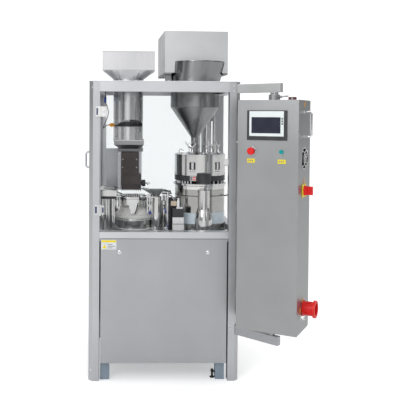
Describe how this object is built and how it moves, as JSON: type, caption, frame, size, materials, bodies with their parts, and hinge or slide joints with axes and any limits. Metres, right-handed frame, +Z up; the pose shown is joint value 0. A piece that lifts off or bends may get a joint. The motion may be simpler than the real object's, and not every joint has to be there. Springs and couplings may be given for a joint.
{
  "type": "capsule filler",
  "caption": "Free-standing pharmacy machine that feeds, opens, fills and closes hard capsules, with a swing-out control cabinet on two arms",
  "frame": {"origin": "centre of the overall bounding box, on the floor under the corner posts", "axes": "+X to the operator's right, +Y from the operator to the back of the machine, +Z up"},
  "size_m": [1.2588, 1.1316, 1.993],
  "materials": {
    "satin_steel": "satin brushed",
    "bright_steel": "polished",
    "dull_steel": "dull brushed",
    "chrome": "polished",
    "blue_grey_paint": "satin paint",
    "motor_paint": "satin paint",
    "clear_pane": "clear",
    "tinted_pane": "pale blue",
    "white_plastic": "matte",
    "black_plastic": "matte",
    "brown_magazine": "matte",
    "orange_plastic": "matte",
    "red_plastic": "gloss",
    "green_plastic": "gloss",
    "yellow_plastic": "matte",
    "pale_bezel": "matte",
    "cable_rubber": "matte"
  },
  "bodies": {
    "machine": {"base_frame": "blue_grey_paint", "post_front_left": "satin_steel", "post_front_right": "satin_steel", "post_rear_left": "satin_steel", "post_rear_right": "satin_steel", "top_frame": "satin_steel", "top_cover": "satin_steel", "table_rim": "satin_steel", "work_table": "satin_steel", "side_panel_left": "satin_steel", "side_panel_right": "satin_steel", "rear_panel": "satin_steel", "right_window": "clear_pane", "interlock_switch": "white_plastic", "capsule_hopper": "bright_steel", "capsule_tube": "bright_steel", "capsule_chute": "dull_steel", "feeder_column": "dull_steel", "level_sensor": "orange_plastic", "sensor_cable": "cable_rubber", "turret_base": "dull_steel", "reject_tray": "bright_steel", "discharge_chute": "bright_steel", "closing_station": "bright_steel", "dosing_base": "bright_steel", "powder_hopper": "bright_steel", "hopper_column": "bright_steel", "auger_motor": "motor_paint", "hopper_hood": "dull_steel", "drive_motor": "motor_paint", "vacuum_pump": "dull_steel", "upper_arm": "satin_steel", "lower_arm": "satin_steel"},
    "front_panel_body": {"front_panel": "satin_steel"},
    "lock_left_body": {"panel_lock_left": "chrome"},
    "lock_right_body": {"panel_lock_right": "chrome"},
    "left_door_body": {"left_door_frame": "satin_steel", "left_door_glass": "clear_pane", "left_door_handle": "satin_steel"},
    "rear_door_body": {"rear_door": "tinted_pane"},
    "magazine_body": {"capsule_magazine": "brown_magazine"},
    "gate_knob_body": {"gate_knob": "black_plastic"},
    "turret_body": {"turret_disc": "bright_steel"},
    "dosing_body": {"dosing_disc": "bright_steel"},
    "tamping_body": {"tamping_head": "black_plastic", "tamping_cover": "bright_steel"},
    "auger_body": {"powder_auger": "bright_steel"},
    "cabinet_body": {"cabinet_shell": "satin_steel", "mounting_plate": "chrome", "hmi_panel": "pale_bezel", "side_handle": "chrome", "isolator_plate": "yellow_plastic", "fan_guard": "chrome", "power_inlet": "red_plastic"},
    "cabinet_back_body": {"cabinet_back": "satin_steel"},
    "estop_body": {"estop_button": "red_plastic"},
    "start_body": {"start_button": "green_plastic"},
    "isolator_body": {"isolator_knob": "red_plastic"},
    "fan_body": {"fan_rotor": "black_plastic"},
    "lever_body": {"clamp_lever": "chrome"}
  },
  "joints": [
    {"name": "cabinet_swivel", "type": "hinge", "parent": "machine", "child": "cabinet_body", "pos_m": [0.39361, -0.39071, 1], "axis": [0, 0, 1], "range_deg": [-60, 20]},
    {"name": "clamp_lever_turn", "type": "hinge", "parent": "cabinet_body", "child": "lever_body", "pos_m": [0.42033, -0.40522, 1.588], "axis": [0.8788, -0.4772, 0], "range_deg": [-60, 60]},
    {"name": "cabinet_back_swing", "type": "hinge", "parent": "cabinet_body", "child": "cabinet_back_body", "pos_m": [0.30284, -0.21524, 1], "axis": [0, 0, 1], "range_deg": [0, 90]},
    {"name": "fan_spin", "type": "hinge", "parent": "cabinet_body", "child": "fan_body", "pos_m": [0.5352, -0.4726, 1.266], "axis": [0.8788, -0.4772, 0], "continuous": true},
    {"name": "isolator_turn", "type": "hinge", "parent": "cabinet_body", "child": "isolator_body", "pos_m": [0.5373, -0.46873, 1.0975], "axis": [0.8788, -0.4772, 0], "range_deg": [0, 90]},
    {"name": "estop_press", "type": "slide", "parent": "cabinet_body", "child": "estop_body", "axis": [0.4772, 0.8788, 0], "range_m": [0, 0.005]},
    {"name": "start_press", "type": "slide", "parent": "cabinet_body", "child": "start_body", "axis": [0.4772, 0.8788, 0], "range_m": [0, 0.003], "stiffness_N_per_m": 400},
    {"name": "front_panel_pull", "type": "slide", "parent": "machine", "child": "front_panel_body", "axis": [0, -1, 0], "range_m": [0, 0.25]},
    {"name": "lock_left_turn", "type": "hinge", "parent": "front_panel_body", "child": "lock_left_body", "pos_m": [-0.4299, -0.2337, 0.723], "axis": [0, -1, 0], "range_deg": [0, 90]},
    {"name": "lock_right_turn", "type": "hinge", "parent": "front_panel_body", "child": "lock_right_body", "pos_m": [0.0641, -0.2337, 0.723], "axis": [0, -1, 0], "range_deg": [0, 90]},
    {"name": "left_door_swing", "type": "hinge", "parent": "machine", "child": "left_door_body", "pos_m": [-0.6029, 0.5054, 1.2], "axis": [0, 0, -1], "range_deg": [0, 110]},
    {"name": "rear_door_swing", "type": "hinge", "parent": "machine", "child": "rear_door_body", "pos_m": [0.1763, 0.5658, 1.2], "axis": [0, 0, -1], "range_deg": [0, 110]},
    {"name": "tamping_stroke", "type": "slide", "parent": "machine", "child": "tamping_body", "axis": [0, 0, 1], "range_m": [0, 0.03]},
    {"name": "magazine_stroke", "type": "slide", "parent": "machine", "child": "magazine_body", "axis": [0, 0, 1], "range_m": [0, 0.018]},
    {"name": "gate_knob_turn", "type": "hinge", "parent": "magazine_body", "child": "gate_knob_body", "pos_m": [-0.3124, 0.0508, 1.082], "axis": [1, 0, 0], "range_deg": [-90, 90]},
    {"name": "dosing_spin", "type": "hinge", "parent": "machine", "child": "dosing_body", "pos_m": [0.0451, 0.1158, 1.07], "axis": [0, 0, 1], "continuous": true},
    {"name": "turret_spin", "type": "hinge", "parent": "machine", "child": "turret_body", "pos_m": [-0.3499, 0.1158, 0.97], "axis": [0, 0, 1], "continuous": true},
    {"name": "auger_spin", "type": "hinge", "parent": "machine", "child": "auger_body", "pos_m": [0.0151, 0.1478, 1.5], "axis": [0, 0, 1], "continuous": true}
  ],
  "couplings": [
    {"joint": "turret_spin", "follows": "dosing_spin", "ratio": 0.5},
    {"joint": "magazine_stroke", "follows": "tamping_stroke", "ratio": 0.6}
  ]
}
